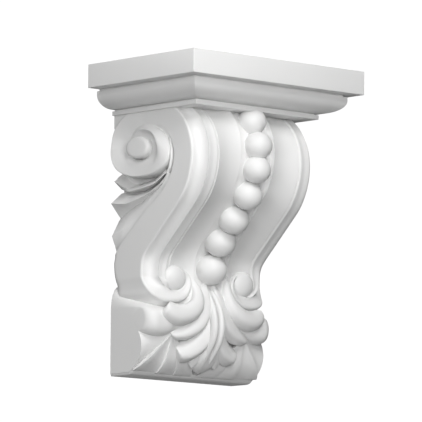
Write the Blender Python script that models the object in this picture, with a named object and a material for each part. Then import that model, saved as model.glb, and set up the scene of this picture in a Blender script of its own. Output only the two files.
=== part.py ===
"""Wall corbel with a scrolled console, a row of beads and an acanthus leaf at its foot.

One casting. +X is to the viewer's right, +Y points into the wall, +Z is up. The flat
back lies in the plane Y = 0 and the origin is at the middle of that back face. Heights
in the dimensions below are measured from the foot, depths from the wall.
"""
import math

import bmesh
import bpy
import numpy as np

# Whole casting
TOTAL_HEIGHT = 0.310
CAP_WIDTH = 0.230
CAP_DEPTH = 0.158

# Cap: a square fascia, an ovolo and a small fillet under it
FASCIA_HEIGHT = 0.0238
OVOLO_SETBACK = 0.0118
OVOLO_HEIGHT = 0.0204
OVOLO_SHOULDER = 0.0060
FILLET_SETBACK = 0.0322
FILLET_HEIGHT = 0.0045

# Console: the scrolled body, its side lines and its middle line
CONSOLE_HALF_WIDTH = 0.0800
CORE_INSET = 0.0180
SIDE_BULGE_DEPTH = 0.1175
SIDE_BULGE_HEIGHT = 0.2140
SIDE_HOLLOW_DEPTH = 0.0440
SIDE_HOLLOW_RADIUS = 0.030
SIDE_SLOPE = math.radians(46.8)
MIDDLE_BULGE_DEPTH = 0.1260
MIDDLE_BULGE_HEIGHT = 0.2210
MIDDLE_HOLLOW_DEPTH = 0.0570
MIDDLE_HOLLOW_RADIUS = 0.040
MIDDLE_SLOPE = math.radians(43.0)
UPPER_BULGE_RADIUS = 0.056
LOWER_BULGE_RADIUS = 0.066
BAND_SIDE_THIN = 0.027
BAND_SIDE_THICK = 0.048
UPPER_NECK_INSET = 0.0004
UPPER_NECK_DEPTH = 0.0950
UPPER_NECK_HEIGHT = 0.0165
LOWER_NECK_INSET = 0.0007
LOWER_NECK_DEPTH = 0.0580

# Console front: a channel, a flute, a groove, a strip and a cove on each side
CHANNEL_HALF_WIDTH = 0.0224
CHANNEL_SINK = 0.0025
CHANNEL_SLOPE_WIDTH = 0.0016
FLUTE_SINK = 0.0036
GROOVE_HALF_WIDTH = 0.0011
GROOVE_SINK = 0.0020
STRIP_WIDTH = 0.0127
STRIP_RISE = 0.0115
COVE_WIDTH = 0.0128
COVE_SINK = 0.0022

# Beads in the channel, growing towards the foot
BEAD_COUNT = 7
BEAD_RADIUS = 0.0142
LAST_BEAD_RADIUS = 0.0166
TOP_BEAD_HEIGHT = 0.2519
LAST_BEAD_HEIGHT = 0.1084

# Volute on each side
VOLUTE_DEPTH = 0.0435
VOLUTE_HEIGHT = 0.2250
VOLUTE_STRETCH = 1.47
VOLUTE_RADIUS = 0.0300
VOLUTE_PROUD = 0.0080
BOSS_RADIUS = 0.0108
BOSS_PROUD = 0.0090

# Curl at the foot of each side line, with a ball in it
BALL_HEIGHT = 0.0970
BALL_DEPTH = 0.0530
BALL_RADIUS = 0.0122
CURL_OUTER_RADIUS = 0.0360
CURL_INNER_RADIUS = 0.0183
CURL_FRONT_DEPTH = 0.0580
CURL_START = 0.1040
CURL_LEAD = 0.0120
CURL_CLEARANCE = 0.0160
CURL_BACKSET = 0.0090
CHANNEL_END = 0.0930
CHANNEL_BACKSET = 0.0120

# Block at the foot: a plain lower part and a cushioned shoulder on it
BLOCK_HALF_WIDTH = 0.0820
BLOCK_DEPTH = 0.0430
BLOCK_FOOT_DEPTH = 0.0330
BLOCK_FOOT_RISE = 0.0060
BLOCK_CORNER = 0.0060
SHOULDER_TOP = 0.0900
SHOULDER_BREAK = 0.0660
SHOULDER_DEPTH = 0.0610
SHOULDER_CORNER = 0.0100
SHOULDER_FALL = 0.0120
SHOULDER_BOTTOM = 0.0381
SHOULDER_ARCH_INSET = 0.0170
SHOULDER_ARCH = 15.2

# Side leaves, and the low leaves that fan out from a point under the shoulder
LEAF_PROUD = 0.0035
FAN_INSET = 0.0340
FAN_HEIGHT = 0.0426
FAN_DEPTH = 0.0560

# Acanthus
STEM_HALF_WIDTH = 0.0062
LOBE_WIDTH = 0.0125

OVERLAP = 0.004
MID_HEIGHT = TOTAL_HEIGHT / 2
SOFFIT = TOTAL_HEIGHT - FASCIA_HEIGHT - OVOLO_HEIGHT - FILLET_HEIGHT
CORE_HALF_WIDTH = CONSOLE_HALF_WIDTH - CORE_INSET
STRIP_OUTER = CONSOLE_HALF_WIDTH - COVE_WIDTH
GROOVE_OFFSET = STRIP_OUTER - STRIP_WIDTH
BALL_OFFSET = CONSOLE_HALF_WIDTH - CURL_OUTER_RADIUS
LEAF_SPREAD = CONSOLE_HALF_WIDTH + LEAF_PROUD
FAN_OFFSET = BLOCK_HALF_WIDTH - FAN_INSET
SIDES = (-1, 1)


def make_material(name, colour, roughness):
    """A plain painted finish."""
    material = bpy.data.materials.new(name)
    material.use_nodes = True
    shader = material.node_tree.nodes["Principled BSDF"]
    shader.inputs["Base Color"].default_value = (*colour, 1.0)
    shader.inputs["Roughness"].default_value = roughness
    shader.inputs["Metallic"].default_value = 0.0
    return material


def make_collection(name):
    """A collection linked to the scene."""
    collection = bpy.data.collections.new(name)
    bpy.context.scene.collection.children.link(collection)
    return collection


def add_object(name, bm, collection):
    """Puts a bmesh into an object, faces outwards, heights moved to the origin."""
    bmesh.ops.translate(bm, verts=bm.verts, vec=(0.0, 0.0, -MID_HEIGHT))
    bmesh.ops.recalc_face_normals(bm, faces=bm.faces)
    mesh = bpy.data.meshes.new(name)
    bm.to_mesh(mesh)
    bm.free()
    new = bpy.data.objects.new(name, mesh)
    collection.objects.link(new)
    return new


def loft(name, rings, collection):
    """Skins a row of closed rings of equal point counts and caps both ends."""
    bm = bmesh.new()
    rows = [[bm.verts.new(point) for point in ring] for ring in rings]
    count = len(rows[0])
    for low, high in zip(rows, rows[1:]):
        for i in range(count):
            j = (i + 1) % count
            bm.faces.new((low[i], low[j], high[j], high[i]))
    bm.faces.new(rows[0])
    bm.faces.new(rows[-1])
    return add_object(name, bm, collection)


def box(name, low, high, collection):
    """A box between two corners."""
    bm = bmesh.new()
    bmesh.ops.create_cube(bm, size=1.0)
    bmesh.ops.scale(bm, verts=bm.verts, vec=[b - a for a, b in zip(low, high)])
    bmesh.ops.translate(bm, verts=bm.verts, vec=[(a + b) / 2 for a, b in zip(low, high)])
    return add_object(name, bm, collection)


def ball(name, centre, radius, collection, segments, rings):
    """A sphere."""
    bm = bmesh.new()
    bmesh.ops.create_uvsphere(bm, u_segments=segments, v_segments=rings, radius=radius)
    bmesh.ops.translate(bm, verts=bm.verts, vec=centre)
    return add_object(name, bm, collection)


def smooth(value):
    """Eases 0 to 1, flat at both ends."""
    value = np.clip(value, 0.0, 1.0)
    return value * value * (3 - 2 * value)


def curve_through(points, count):
    """Points of a Catmull-Rom curve through the given points."""
    points = np.array(points, float)
    ends = np.vstack((2 * points[0] - points[1], points, 2 * points[-1] - points[-2]))
    place = np.linspace(0, len(points) - 1, count)
    span = np.minimum(place.astype(int), len(points) - 2)
    t = (place - span)[:, None]
    a, b, c, d = (ends[span + k] for k in range(4))
    return 0.5 * (2 * b + (c - a) * t + (2 * a - 5 * b + 4 * c - d) * t ** 2
                  + (3 * b - a - 3 * c + d) * t ** 3)


def s_line(height, bulge, bulge_height, hollow, hollow_radius, slope):
    """Depth of an S-shaped line: a bulge arc, a straight slope and a hollow arc."""
    sine, cosine = math.sin(slope), math.cos(slope)
    bends = (LOWER_BULGE_RADIUS + hollow_radius)
    straight = (bulge - hollow - bends * (1 - cosine)) / sine
    hollow_height = bulge_height - bends * sine - straight * cosine
    upper_end = bulge_height - LOWER_BULGE_RADIUS * sine
    lower_end = hollow_height + hollow_radius * sine
    radius = np.where(height > bulge_height, UPPER_BULGE_RADIUS, LOWER_BULGE_RADIUS)
    away = np.minimum(np.abs(height - bulge_height), 0.95 * radius)
    depth = bulge - radius + np.sqrt(radius ** 2 - away ** 2)
    start = bulge - LOWER_BULGE_RADIUS * (1 - cosine)
    depth = np.where(height < upper_end, start - (upper_end - height) * sine / cosine, depth)
    away = np.minimum(np.abs(height - hollow_height), 0.85 * hollow_radius)
    low = hollow + hollow_radius - np.sqrt(hollow_radius ** 2 - away ** 2)
    return np.where(height < lower_end, low, depth)


def side_line(height):
    """Depth of the outer edge of the console front."""
    return s_line(height, SIDE_BULGE_DEPTH, SIDE_BULGE_HEIGHT, SIDE_HOLLOW_DEPTH,
                  SIDE_HOLLOW_RADIUS, SIDE_SLOPE)


def middle_line(height):
    """Depth of the channel's edges and of the beads' centres."""
    return s_line(height, MIDDLE_BULGE_DEPTH, MIDDLE_BULGE_HEIGHT, MIDDLE_HOLLOW_DEPTH,
                  MIDDLE_HOLLOW_RADIUS, MIDDLE_SLOPE)


def band_back(height):
    """Depth of the back edge of the band that forms the console's side."""
    below = smooth((SIDE_BULGE_HEIGHT - height) / 0.050)
    above = smooth((height - SIDE_BULGE_HEIGHT - 0.019) / 0.017)
    thick = BAND_SIDE_THIN + (BAND_SIDE_THICK - BAND_SIDE_THIN) * (below + above)
    return np.maximum(side_line(height) - thick, -OVERLAP)


def build_cap(collection):
    """Fascia, ovolo and fillet as overlapping boxes; the ovolo is a rounded box."""
    half = CAP_WIDTH / 2
    top = TOTAL_HEIGHT
    fascia_foot = top - FASCIA_HEIGHT
    pieces = [box("fascia", (-half, -CAP_DEPTH, fascia_foot), (half, OVERLAP, top), collection)]
    inset = FILLET_SETBACK
    low = SOFFIT
    pieces.append(box("fillet", (-half + inset, -CAP_DEPTH + inset, low),
                      (half - inset, OVERLAP, fascia_foot + OVERLAP), collection))
    reach = FILLET_SETBACK - OVOLO_SETBACK
    squash = (OVOLO_HEIGHT - OVOLO_SHOULDER) / reach
    foot = fascia_foot - OVOLO_HEIGHT
    inset = OVOLO_SETBACK
    bm = bmesh.new()
    bmesh.ops.create_cube(bm, size=1.0)
    size = (CAP_WIDTH - 2 * inset, CAP_DEPTH - inset + OVERLAP + reach,
            (OVOLO_HEIGHT + OVERLAP) / squash)
    bmesh.ops.scale(bm, verts=bm.verts, vec=size)
    lower = [e for e in bm.edges if all(v.co.z < 0 for v in e.verts)
             and not all(v.co.y > 0 for v in e.verts)]
    bmesh.ops.bevel(bm, geom=lower, offset=reach * 0.985, offset_type="OFFSET", segments=6,
                    profile=0.5, affect="EDGES")
    bmesh.ops.scale(bm, verts=bm.verts, vec=(1.0, 1.0, squash))
    bmesh.ops.translate(bm, verts=bm.verts, vec=(
        0.0, -CAP_DEPTH + inset + size[1] / 2, foot + (OVOLO_HEIGHT + OVERLAP) / 2))
    pieces.append(add_object("ovolo", bm, collection))
    return pieces


def front_profile(height):
    """Half of the console's plan at one height: offsets from the middle and depths."""
    side, middle = side_line(height), middle_line(height)
    lip = side + STRIP_RISE
    flute = np.linspace(0.0, 1.0, 5)
    flute_x = CHANNEL_HALF_WIDTH + (GROOVE_OFFSET - GROOVE_HALF_WIDTH - CHANNEL_HALF_WIDTH) * flute
    flute_y = middle + (lip - middle) * flute - FLUTE_SINK * 4 * flute * (1 - flute)
    cove = np.linspace(0.0, 1.0, 5)[1:]
    cove_x = STRIP_OUTER + (CONSOLE_HALF_WIDTH - STRIP_OUTER) * cove
    cove_y = side + STRIP_RISE * (1 - cove) ** 2 - COVE_SINK * 4 * cove * (1 - cove)
    xs = np.array([0.0, CHANNEL_HALF_WIDTH - CHANNEL_SLOPE_WIDTH, *flute_x, GROOVE_OFFSET,
                   GROOVE_OFFSET + GROOVE_HALF_WIDTH, STRIP_OUTER, *cove_x])
    ys = np.array([middle - CHANNEL_SINK, middle - CHANNEL_SINK, *flute_y, lip - GROOVE_SINK,
                   lip, lip, *cove_y])
    outside = smooth((xs - CHANNEL_HALF_WIDTH) / CURL_CLEARANCE)
    into_curl = smooth((CURL_START - height) / CURL_LEAD) * outside
    into_block = smooth((CHANNEL_END - height) / (CHANNEL_END - SHOULDER_BREAK)) * (1 - outside)
    ys = ys - CURL_BACKSET * into_curl - CHANNEL_BACKSET * into_block
    xs = xs - OVERLAP * into_curl
    back = float(band_back(height))
    xs = [*xs, xs[-1], CORE_HALF_WIDTH, CORE_HALF_WIDTH]
    ys = [*ys, back, back, -2 * OVERLAP]
    return xs, ys


def build_console(collection):
    """The body: its plan at each height, skinned from inside the block to inside the cap."""
    rings = []
    for height in np.linspace(SHOULDER_BREAK - OVERLAP, SOFFIT + OVERLAP, 42):
        xs, ys = front_profile(height)
        half = [(x, -y, height) for x, y in zip(xs, ys)]
        rings.append([(-x, y, z) for x, y, z in reversed(half[1:])] + half)
    pieces = [loft("console", rings, collection)]
    for inset, front, foot in ((UPPER_NECK_INSET, UPPER_NECK_DEPTH, SOFFIT - UPPER_NECK_HEIGHT),
                               (LOWER_NECK_INSET, LOWER_NECK_DEPTH, VOLUTE_HEIGHT)):
        half = CONSOLE_HALF_WIDTH - inset
        pieces.append(box("neck", (-half, -front, foot), (half, 2.5 * OVERLAP, SOFFIT + OVERLAP),
                          collection))
    return pieces


def build_beads(collection):
    """Beads strung down the channel at even steps of its slope."""
    heights = np.linspace(LAST_BEAD_HEIGHT, SOFFIT, 200)
    depths = middle_line(heights)
    run = np.concatenate(([0], np.cumsum(np.hypot(np.diff(heights), np.diff(depths)))))
    first = np.interp(TOP_BEAD_HEIGHT, heights, run)
    pieces = []
    for i in range(BEAD_COUNT):
        height = float(np.interp(first * i / (BEAD_COUNT - 1), run, heights))
        growth = (1 - i / (BEAD_COUNT - 1)) ** 2
        radius = BEAD_RADIUS + (LAST_BEAD_RADIUS - BEAD_RADIUS) * growth
        pieces.append(ball("bead", (0.0, -float(middle_line(height)), height), radius,
                           collection, 14, 9))
    return pieces


def volute_point(side, radius, angle, proud):
    """A point of the volute: angle 0 up, a quarter turn to the wall, half a turn down."""
    return (side * (CONSOLE_HALF_WIDTH + proud),
            -VOLUTE_DEPTH + VOLUTE_STRETCH * radius * math.sin(angle),
            VOLUTE_HEIGHT + radius * math.cos(angle))


def build_volutes(collection):
    """On each side a turn that winds out from the band and a boss in its middle."""
    turns = np.radians(np.linspace(4, 356, 30))
    degrees = (0, 25, 45, 70, 90, 135, 180, 225, 250, 270, 290, 315, 340, 360)
    outer = np.array((1.34, 1.31, 1.25, 1.12, 1.02, 1.0, 0.99, 1.05, 1.05, 1.02, 0.95, 0.79, 0.69,
                      0.66))
    inner = np.array((0.50, 0.47, 0.45, 0.43, 0.43, 0.47, 0.51, 0.55, 0.62, 0.64, 0.61, 0.575,
                      0.54, 0.53))
    rim = np.array((-0.05, 0.10, 0.28, 0.62, 0.76, 0.76, 0.75, 0.68, 0.60, 0.56, 0.54, 0.45, 0.20,
                    -0.1))
    ridge = np.array((-0.05, 0.10, 0.22, 0.32, 0.38, 0.55, 0.75, 0.90, 1.0, 1.00, 0.95, 0.75, 0.30,
                      -0.1))
    outer, inner = outer * VOLUTE_RADIUS, inner * VOLUTE_RADIUS
    rim, ridge = rim * VOLUTE_PROUD, ridge * VOLUTE_PROUD
    pieces = []
    for side in SIDES:
        rings = []
        for angle in turns:
            at = math.degrees(angle)
            r_out, r_in = np.interp(at, degrees, outer), np.interp(at, degrees, inner)
            h_out, h_in = np.interp(at, degrees, rim), np.interp(at, degrees, ridge)
            width = r_out - r_in
            root = CORE_HALF_WIDTH - CONSOLE_HALF_WIDTH - 2 * OVERLAP
            steps = ((0.0, root), (0.0, h_in - 0.0015), (0.10, h_in), (0.50, (h_in + h_out) / 2
                     + 0.0006), (0.90, h_out), (1.0, h_out - 0.0020), (1.0, root))
            rings.append([volute_point(side, r_in + width * a, angle, h) for a, h in steps])
        pieces.append(loft("volute turn", rings, collection))
        rings = [[volute_point(side, VOLUTE_RADIUS * 0.8, a, proud)
                  for a in np.linspace(0, 2 * math.pi, 16, endpoint=False)]
                 for proud in (-0.020, -0.0030)]
        pieces.append(loft("volute seat", rings, collection))
        rings = []
        for share, proud in ((1.0, -0.016), (1.0, BOSS_PROUD - 0.0030),
                             (0.93, BOSS_PROUD - 0.0010), (0.78, BOSS_PROUD)):
            rings.append([volute_point(side, BOSS_RADIUS * share, a, proud)
                          for a in np.linspace(0, 2 * math.pi, 20, endpoint=False)])
        pieces.append(loft("volute boss", rings, collection))
    return pieces


def build_side_leaves(collection):
    """Leaf behind the band: ribs that fan out from the band's back edge to the wall.

    Each rib gives its height at the band, half-way and at the wall, and how far inside
    the leaf's widest offset it stays at those three places.
    """
    ribs = ((0.204, 0.197, 0.203, 0.0175, 0.0215, 0.0215),
            (0.203, 0.1915, 0.2005, 0.0075, 0.0045, 0.0050),
            (0.201, 0.1865, 0.1905, 0.0075, 0.0075, 0.0170),
            (0.198, 0.1820, 0.1875, 0.0145, 0.0195, 0.0215),
            (0.191, 0.1745, 0.1735, 0.0085, 0.0035, 0.0000),
            (0.187, 0.1690, 0.1590, 0.0115, 0.0135, 0.0155),
            (0.185, 0.1665, 0.1570, 0.0050, 0.0060, 0.0115),
            (0.165, 0.1535, 0.1415, 0.0050, 0.0035, 0.0025),
            (0.140, 0.1330, 0.1260, 0.0050, 0.0065, 0.0090))
    share = np.linspace(0.0, 1.0, 6)
    weights = ((1 - share) * (1 - 2 * share), 4 * share * (1 - share), share * (2 * share - 1))
    pieces = []
    for side in SIDES:
        rings = []
        for rib in ribs:
            start = float(band_back(rib[0])) + 0.006
            depth = start + (-OVERLAP - start) * share
            height = sum(w * z for w, z in zip(weights, rib[:3]))
            offset = LEAF_SPREAD - sum(w * inset for w, inset in zip(weights, rib[3:]))
            outer = [(side * x, -y, z) for x, y, z in zip(offset, depth, height)]
            inner = [(side * (CORE_HALF_WIDTH - 0.017), -y, z) for y, z in zip(depth, height)]
            rings.append(outer + inner[::-1])
        pieces.append(loft("side leaf", rings, collection))
    return pieces


def build_curls(collection):
    """Each side line ends in a curl that winds under and round a ball."""
    pieces = []
    turns = np.linspace(150, 412, 24)
    for side in SIDES:
        rings = []
        for degrees in turns:
            angle = math.radians(degrees)
            under = math.exp(-((degrees - 245) / 45) ** 2)
            ease = float(smooth((degrees - 200) / 75))
            radius = CURL_OUTER_RADIUS + (CURL_INNER_RADIUS - CURL_OUTER_RADIUS) * ease
            radius -= 0.008 * float(smooth((degrees - 345) / 75))
            front = float(SIDE_HOLLOW_DEPTH - 0.001 + (CURL_FRONT_DEPTH - SIDE_HOLLOW_DEPTH + 0.001)
                          * smooth((degrees - 175) / 60))
            skirt = 1 + 0.009 * under / radius
            merge = float(smooth((degrees - 165) / 60))
            cove_start = (STRIP_OUTER - BALL_OFFSET) / CURL_OUTER_RADIUS * (1 - merge) + 0.45 * merge
            rise = STRIP_RISE * (1 - 0.85 * merge)
            steps = [(0.15, -2 * OVERLAP), (0.15, front + rise)]
            for share in (0.0, 0.2, 0.45, 0.75, 1.0):
                steps.append((cove_start + (1 - cove_start) * share,
                              front + rise * (1 - share) ** 2 - COVE_SINK * 4 * share * (1 - share)))
            steps += [(skirt * 0.6 + 0.4, front - 0.009), (skirt, front - 0.022),
                      (skirt, -2 * OVERLAP)]
            rings.append([(side * (BALL_OFFSET - radius * s * math.cos(angle)), -d,
                           BALL_HEIGHT + radius * s * math.sin(angle)) for s, d in steps])
        pieces.append(loft("curl", rings, collection))
        pieces.append(ball("curl ball", (side * BALL_OFFSET, -BALL_DEPTH, BALL_HEIGHT),
                           BALL_RADIUS, collection, 14, 9))
        core = 0.5 * CURL_INNER_RADIUS
        low, high = sorted((side * (BALL_OFFSET - core), side * (BALL_OFFSET + core)))
        pieces.append(box("curl core", (low, -BALL_DEPTH + 0.002, BALL_HEIGHT - core),
                          (high, OVERLAP, BALL_HEIGHT + core), collection))
    return pieces


def build_block(collection):
    """Lower part of the block: plans with rounded front corners, tucked in at the foot."""
    rings = []
    for height in (0.0, 0.0015, 0.0035, 0.006, 0.012, 0.030, 0.050):
        tuck = 0.003 * float(smooth(1 - height / BLOCK_FOOT_RISE))
        rise = 1 - min(height / BLOCK_FOOT_RISE, 1.0)
        half = BLOCK_HALF_WIDTH - tuck
        depth = BLOCK_FOOT_DEPTH + (BLOCK_DEPTH - BLOCK_FOOT_DEPTH) * math.sqrt(1 - rise ** 2)
        corners = [(half - BLOCK_CORNER + BLOCK_CORNER * math.cos(a),
                    BLOCK_CORNER - depth - BLOCK_CORNER * math.sin(a))
                   for a in np.linspace(0, math.pi / 2, 4)]
        right = [(half, 2 * OVERLAP)] + corners
        rings.append([(x, y, height) for x, y in right]
                     + [(-x, y, height) for x, y in reversed(right)])
    return [loft("block", rings, collection)]


def build_shoulder(collection):
    """Cushioned upper part of the block: its section at each offset from the middle."""
    half = BLOCK_HALF_WIDTH
    top = SHOULDER_TOP - SHOULDER_BREAK
    rings = []
    for inset in (half, 0.052, 0.038, 0.030, 0.022, 0.015, 0.010, 0.006, 0.003, 0.001, 0.0):
        offset = half - inset
        arch = max(offset, FAN_OFFSET) - half + SHOULDER_ARCH_INSET
        bottom = SHOULDER_BOTTOM + SHOULDER_ARCH * arch ** 2
        away = max(0.0, 1 - inset / SHOULDER_CORNER)
        front = SHOULDER_DEPTH - SHOULDER_CORNER * (1 - math.sqrt(1 - away ** 2))
        lift = 1 - 0.72 * float(smooth(1 - inset / SHOULDER_FALL))
        steps = ((bottom, -2 * OVERLAP), (bottom, front - 0.017), (bottom + 0.0008, front - 0.008),
                 (bottom + 0.004, front - 0.003), (bottom + 0.010, front), (0.057, front),
                 (0.063, front - 0.003), (SHOULDER_BREAK, front - 0.007),
                 (SHOULDER_BREAK + 0.16 * top * lift, front - 0.016),
                 (SHOULDER_BREAK + 0.38 * top * lift, front * 0.48),
                 (SHOULDER_BREAK + 0.70 * top * lift, front * 0.22),
                 (SHOULDER_BREAK + 0.97 * top * lift, front * 0.04),
                 (SHOULDER_BREAK + top * lift, -2 * OVERLAP))
        rings.append([(offset, -d, z) for z, d in steps])
    left = [[(-x, y, z) for x, y, z in ring] for ring in rings[:0:-1]]
    return [loft("shoulder", left + rings, collection)]


def build_fans(collection):
    """Low leaves that fan out from a point under the shoulder to the corner and the foot.

    Each leaf is a row of sections from that point outwards; its first edge stands proud
    of the leaf before it. Ends are offset, depth and height at the two edges.
    """
    half = BLOCK_HALF_WIDTH
    leaves = (((half, 0.0420, 0.0420), (half - 0.001, 0.0370, 0.0060), 0.0080, 0.0),
              ((half - 0.001, 0.0390, 0.0080), (half - 0.031, 0.0405, 0.0015), 0.0045, 0.0025),
              ((half - 0.031, 0.0410, 0.0020), (half - 0.054, 0.0405, 0.0020), 0.0020, 0.0022))
    pieces = []
    for side in SIDES:
        for first, second, bulge, edge in leaves:
            rings = []
            for share in (0.06, 0.25, 0.45, 0.65, 0.85, 1.0):
                ring = []
                for across in np.linspace(0, 1, 6):
                    x, depth, z = ((1 - across) * a + across * b for a, b in zip(first, second))
                    depth += bulge * 4 * across * (1 - across) * share + edge * (1 - across)
                    x = FAN_OFFSET + (x - FAN_OFFSET) * share
                    z = FAN_HEIGHT + (z - FAN_HEIGHT) * share
                    depth = FAN_DEPTH + (depth - FAN_DEPTH) * share
                    ring.append((side * x, -depth, z))
                inner = [(ring[-1][0], -0.02, ring[-1][2]), (ring[0][0], -0.02, ring[0][2])]
                rings.append(ring + inner)
            pieces.append(loft("fan leaf", rings, collection))
    return pieces


def lobe(name, side, points, widths, thickness, collection, count, sides=10):
    """A leaf lobe: an oval section carried along a curve, closed at a rounded tip.

    points run from root to tip, widths are half widths at those points, thickness is the
    half thickness as a share of the half width.
    """
    path = curve_through(points, count)
    place = np.linspace(0, 1, count)
    half = np.interp(place, np.linspace(0, 1, len(widths)), widths)
    tip = np.clip((place - 0.80) / 0.20, 0, 1)
    half = half * np.sqrt(np.maximum(1 - tip ** 2, 0.02))
    along = np.gradient(path, axis=0)
    along /= np.linalg.norm(along, axis=1)[:, None]
    out = np.array((0.0, -1.0, 0.0))
    across = np.cross(along, out)
    across /= np.linalg.norm(across, axis=1)[:, None]
    front = np.cross(across, along)
    rings = []
    for centre, w, b, f in zip(path, half, across, front):
        ring = []
        for angle in np.linspace(0, 2 * math.pi, sides, endpoint=False):
            c, s = math.cos(angle), math.sin(angle)
            point = centre + b * w * c + f * w * thickness * s
            ring.append((side * point[0], point[1], point[2]))
        rings.append(ring)
    return loft(name, rings, collection)


def build_acanthus(collection):
    """Leaf under the last bead: a middle stem with three curled lobes on each side."""
    stem = ((0.0, -0.046, 0.100), (0.0, -0.0550, 0.086), (0.0, -0.0610, 0.070),
            (0.0, -0.0635, 0.055), (0.0, -0.0600, 0.040), (0.0, -0.0470, 0.026),
            (0.0, -0.0370, 0.0150), (0.0, -0.0330, 0.0060))
    wide = STEM_HALF_WIDTH
    pieces = [lobe("stem", 1, stem, (0.8 * wide, wide, wide, wide, 1.1 * wide, 1.5 * wide,
                                     2.0 * wide, 2.1 * wide), 1.05, collection, 14)]
    first = ((0.0340, -0.054, 0.112), (0.0265, -0.0570, 0.096), (0.0250, -0.0590, 0.081),
             (0.0310, -0.0600, 0.070), (0.0420, -0.0580, 0.0615), (0.0550, -0.0560, 0.0605),
             (0.0690, -0.0520, 0.0650))
    second = ((0.0080, -0.050, 0.094), (0.0130, -0.057, 0.079), (0.0180, -0.060, 0.065),
              (0.0250, -0.0590, 0.0540), (0.0360, -0.0560, 0.0450), (0.0520, -0.048, 0.0385))
    third = ((0.0030, -0.054, 0.066), (0.0080, -0.057, 0.051), (0.0130, -0.055, 0.041),
             (0.0210, -0.049, 0.0300), (0.0350, -0.041, 0.0200))
    small = ((0.0040, -0.050, 0.042), (0.0100, -0.043, 0.028), (0.0170, -0.036, 0.0110))
    for side in SIDES:
        for name, path, widths, sides, count in (
                ("first lobe", first, (0.3, 0.4, 0.6, 0.8, 0.92, 1.0, 0.96), 10, 14),
                ("second lobe", second, (0.3, 0.45, 0.64, 0.76, 0.76, 0.64), 10, 12),
                ("third lobe", third, (0.32, 0.48, 0.64, 0.72, 0.68), 9, 11),
                ("small lobe", small, (0.32, 0.60, 0.64), 8, 8)):
            halves = [share * LOBE_WIDTH for share in widths]
            pieces.append(lobe(name, side, path, halves, 1.0, collection, count, sides))
    return pieces


def join_all(name, pieces, material, collection, cutters):
    """Unites the pieces in one body and cuts it off flat at the wall."""
    body = pieces[0]
    body.name = name
    body.data.name = name
    for piece in pieces[1:]:
        piece.hide_render = True
        piece.display_type = "WIRE"
    cutters.objects.unlink(body)
    collection.objects.link(body)
    union = body.modifiers.new("carving", "BOOLEAN")
    union.operation = "UNION"
    union.operand_type = "COLLECTION"
    union.collection = cutters
    trim_collection = make_collection("Wall plane")
    reach = TOTAL_HEIGHT
    wall = box("wall", (-reach, 0.0, 0.0 - reach), (reach, reach, 2 * reach), trim_collection)
    wall.hide_render = True
    wall.display_type = "WIRE"
    cut = body.modifiers.new("wall", "BOOLEAN")
    cut.operation = "DIFFERENCE"
    cut.object = wall
    body.data.materials.append(material)
    body.data.shade_smooth()
    body.data.set_sharp_from_angle(angle=math.radians(35))
    return body


def main():
    """Builds the corbel."""
    for old in list(bpy.data.objects):
        bpy.data.objects.remove(old, do_unlink=True)
    collection = make_collection("Corbel")
    cutters = make_collection("Carving")
    white = make_material("primed white", (0.86, 0.86, 0.85), 0.55)
    pieces = build_cap(cutters)
    pieces += build_console(cutters)
    pieces += build_beads(cutters)
    pieces += build_volutes(cutters)
    pieces += build_side_leaves(cutters)
    pieces += build_curls(cutters)
    pieces += build_block(cutters)
    pieces += build_shoulder(cutters)
    pieces += build_fans(cutters)
    pieces += build_acanthus(cutters)
    join_all("corbel", pieces, white, collection, cutters)


main()
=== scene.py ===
"""Looks of a primed white wall corbel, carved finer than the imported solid.

One casting: a moulded cap, a scrolled console with beads in a channel, a coil on each flank,
side leaves, a curl with a ball at the foot of each band, an acanthus leaf and a block. It is
made of closed surfaces on grids, united in one piece and cut off flat at the wall.
+X is to the right of someone who faces the front, +Y points into the wall, +Z is up. In the
sizes below heights are measured from the foot and depths from the wall, both in metres.
"""
import logging
import math
from dataclasses import dataclass
from enum import Enum
from typing import NamedTuple

import bpy
import numpy as np
import numpy.typing as npt
from mathutils import Matrix, Vector


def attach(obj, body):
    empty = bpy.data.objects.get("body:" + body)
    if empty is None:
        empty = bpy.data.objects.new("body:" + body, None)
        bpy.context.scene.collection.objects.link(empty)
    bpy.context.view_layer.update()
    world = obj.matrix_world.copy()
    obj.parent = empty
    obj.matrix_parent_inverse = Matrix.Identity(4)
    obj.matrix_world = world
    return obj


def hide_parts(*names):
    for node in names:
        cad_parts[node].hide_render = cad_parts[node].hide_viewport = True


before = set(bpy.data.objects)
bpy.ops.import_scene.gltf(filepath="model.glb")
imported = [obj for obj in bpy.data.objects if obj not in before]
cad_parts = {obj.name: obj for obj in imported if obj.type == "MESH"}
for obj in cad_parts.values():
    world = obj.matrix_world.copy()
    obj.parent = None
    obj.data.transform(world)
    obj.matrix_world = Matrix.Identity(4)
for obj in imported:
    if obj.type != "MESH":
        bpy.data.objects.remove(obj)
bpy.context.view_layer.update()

Array = npt.NDArray[np.float64]
Row = tuple[float, ...]
Table = tuple[Row, ...]
Triple = tuple[float, float, float]
LOG = logging.getLogger("corbel")
TOTAL_HEIGHT = 0.310
OVERLAP = 0.004


class Side(Enum):
    """The two flanks of the corbel, by the sign of X."""

    LEFT = -1.0
    RIGHT = 1.0


class Shell(NamedTuple):
    """A closed surface: rows of rings, each ring a closed loop of points."""

    name: str
    grid: Array


@dataclass(frozen=True)
class Finish:
    """A painted finish and its small irregularities."""

    slot: str
    colour: Triple
    roughness: float
    mottle: float
    mottle_scale: float
    grain: float
    grain_scale: float


PRIMER = Finish("primed_white", (0.80, 0.80, 0.795), 0.50, 0.015, 18.0, 0.00003, 420.0)


def ease(value: Array | float) -> Array:
    """Ease from 0 to 1 and stay flat at both ends.

    Args:
        value: Share of the way; it is clipped to 0 and 1.
    Returns:
        3 v^2 - 2 v^3.
    """
    value = np.clip(value, 0.0, 1.0)
    return value * value * (3.0 - 2.0 * value)


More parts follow.
